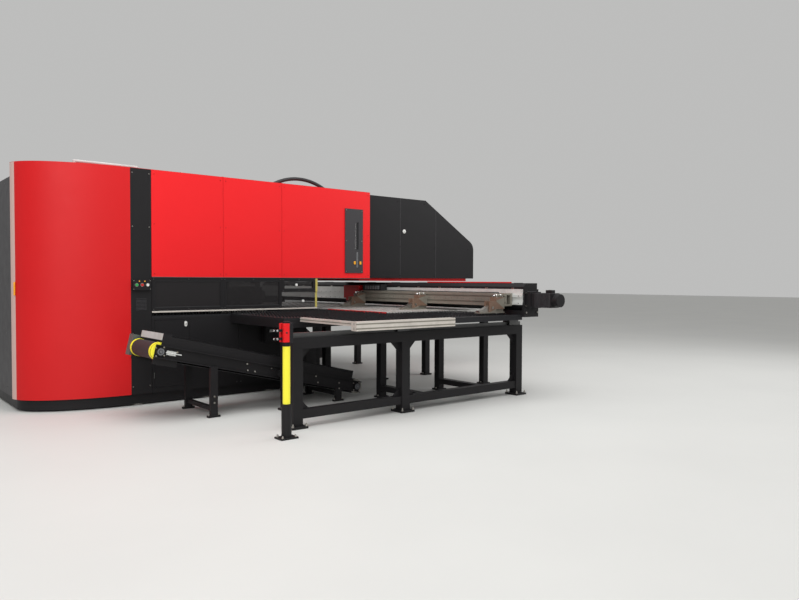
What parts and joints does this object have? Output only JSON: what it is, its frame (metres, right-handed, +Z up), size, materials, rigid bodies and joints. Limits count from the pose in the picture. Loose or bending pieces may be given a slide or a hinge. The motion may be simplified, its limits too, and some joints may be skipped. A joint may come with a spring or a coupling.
{
  "type": "cnc turret punch press",
  "caption": "CNC turret punch press with a long-armed C frame, red hood, indexing tool turrets, brush and ball tables, gantry carriage with workholders, and a parts conveyor.",
  "frame": {"origin": "on the floor, straight under the punching centre", "axes": "+X along the arm towards the open nose, +Y away from the operator side, +Z up"},
  "size_m": [6.196, 6.34, 2.652],
  "materials": {
    "red_paint": "fine textured satin",
    "black_paint": "fine textured matt",
    "charcoal_paint": "textured matt",
    "yellow_paint": "gloss",
    "smoked_window": "clear",
    "machined_steel": "machined",
    "cast_grey": "painted casting",
    "brush_black": "brush bristles in plates",
    "ball_plate": "bright",
    "anodised": "anodised",
    "brown_steel": "blued steel",
    "belt_rubber": "matt",
    "button_green": "moulded",
    "button_red": "moulded",
    "button_white": "moulded",
    "lock_white": "moulded"
  },
  "bodies": {
    "press": {"base_plinth": "black_paint", "levelling_pads": "machined_steel", "c_frame": "charcoal_paint", "rear_corner_cover": "red_paint", "rear_cabinet": "charcoal_paint", "control_strip": "black_paint", "button_box": "black_paint", "hood_panel_rear": "red_paint", "hood_panel_middle": "red_paint", "hood_panel_front": "red_paint", "hood_panels_far": "red_paint", "hood_roof": "red_paint", "nose_cover": "black_paint", "nose_base_plate": "red_paint", "gauge_panel": "charcoal_paint", "lower_panels": "black_paint", "guard_frames": "black_paint", "guard_windows": "smoked_window", "guard_edge_bar": "yellow_paint", "turret_shafts": "machined_steel", "ram_cylinder": "cast_grey", "brush_table": "brush_black", "ball_table": "ball_plate", "table_frame": "black_paint", "table_apron": "red_paint", "guideway_frames": "black_paint", "linear_rails": "machined_steel", "sensor_post": "black_paint", "sensor_head": "red_paint", "conveyor_frame": "black_paint", "conveyor_belt": "belt_rubber", "gear_motor": "cast_grey", "roof_hose": "belt_rubber"},
    "carriage": {"carriage_beam": "black_paint", "cross_rails": "anodised", "carriage_cover": "black_paint", "bearing_blocks": "machined_steel", "side_tables": "black_paint", "side_table_edges": "anodised", "cross_motor": "black_paint"},
    "cross_slide": {"cross_slide_bar": "anodised", "workholders": "brown_steel", "valve_box": "black_paint", "end_block": "red_paint"},
    "jaw_near": {"clamp_jaw_near": "machined_steel"},
    "jaw_middle": {"clamp_jaw_middle": "machined_steel"},
    "jaw_far": {"clamp_jaw_far": "machined_steel"},
    "upper_turret": {"upper_turret": "machined_steel", "punch_holders": "machined_steel"},
    "lower_turret": {"lower_turret": "machined_steel", "die_holders": "machined_steel"},
    "ram": {"ram": "machined_steel"},
    "chute_flap": {"chute_flap": "brush_black"},
    "service_door": {"service_door": "black_paint", "door_lock": "lock_white"},
    "start_button": {"start_button": "button_green"},
    "stop_button": {"stop_button": "button_red"},
    "retract_button": {"retract_button": "button_white"},
    "head_drum": {"head_drum": "yellow_paint"},
    "tail_drum": {"tail_drum": "machined_steel"}
  },
  "joints": [
    {"name": "carriage_travel", "type": "slide", "parent": "press", "child": "carriage", "axis": [1, 0, 0], "range_m": [-1.1, 0]},
    {"name": "cross_travel", "type": "slide", "parent": "carriage", "child": "cross_slide", "axis": [0, 1, 0], "range_m": [0, 2.5]},
    {"name": "jaw_near_grip", "type": "hinge", "parent": "cross_slide", "child": "jaw_near", "pos_m": [1.3897, -2.76, 1.012], "axis": [0, 1, 0], "range_deg": [0, 4]},
    {"name": "jaw_middle_grip", "type": "hinge", "parent": "cross_slide", "child": "jaw_middle", "pos_m": [1.3897, -1.48, 1.012], "axis": [0, 1, 0], "range_deg": [0, 4]},
    {"name": "jaw_far_grip", "type": "hinge", "parent": "cross_slide", "child": "jaw_far", "pos_m": [1.3897, -0.2, 1.012], "axis": [0, 1, 0], "range_deg": [0, 4]},
    {"name": "upper_turret_index", "type": "hinge", "parent": "press", "child": "upper_turret", "pos_m": [-0.55, 0, 1.1], "axis": [0, 0, 1], "continuous": true},
    {"name": "lower_turret_index", "type": "hinge", "parent": "press", "child": "lower_turret", "pos_m": [-0.55, 0, 0.86], "axis": [0, 0, 1], "continuous": true},
    {"name": "ram_stroke", "type": "slide", "parent": "press", "child": "ram", "axis": [0, 0, 1], "range_m": [-0.037, 0]},
    {"name": "chute_flap_tilt", "type": "hinge", "parent": "press", "child": "chute_flap", "pos_m": [0.467, -1.5, 0.915], "axis": [0, -1, 0], "range_deg": [0, 30]},
    {"name": "service_door_swing", "type": "hinge", "parent": "press", "child": "service_door", "pos_m": [-1.54, -0.742, 0.5], "axis": [0, 0, -1], "range_deg": [0, 95]},
    {"name": "start_button_push", "type": "slide", "parent": "press", "child": "start_button", "axis": [0, 1, 0], "range_m": [0, 0.004], "stiffness_N_per_m": 400},
    {"name": "stop_button_push", "type": "slide", "parent": "press", "child": "stop_button", "axis": [0, 1, 0], "range_m": [0, 0.004], "stiffness_N_per_m": 400},
    {"name": "retract_button_push", "type": "slide", "parent": "press", "child": "retract_button", "axis": [0, 1, 0], "range_m": [0, 0.004], "stiffness_N_per_m": 400},
    {"name": "head_drum_turn", "type": "hinge", "parent": "press", "child": "head_drum", "pos_m": [-1.892, -1.5, 0.655], "axis": [0, 1, 0], "continuous": true},
    {"name": "tail_drum_turn", "type": "hinge", "parent": "press", "child": "tail_drum", "pos_m": [0.29675, -1.5, 0.13357], "axis": [0, 1, 0], "continuous": true}
  ],
  "couplings": [
    {"joint": "lower_turret_index", "follows": "upper_turret_index", "ratio": 1},
    {"joint": "tail_drum_turn", "follows": "head_drum_turn", "ratio": 1}
  ]
}
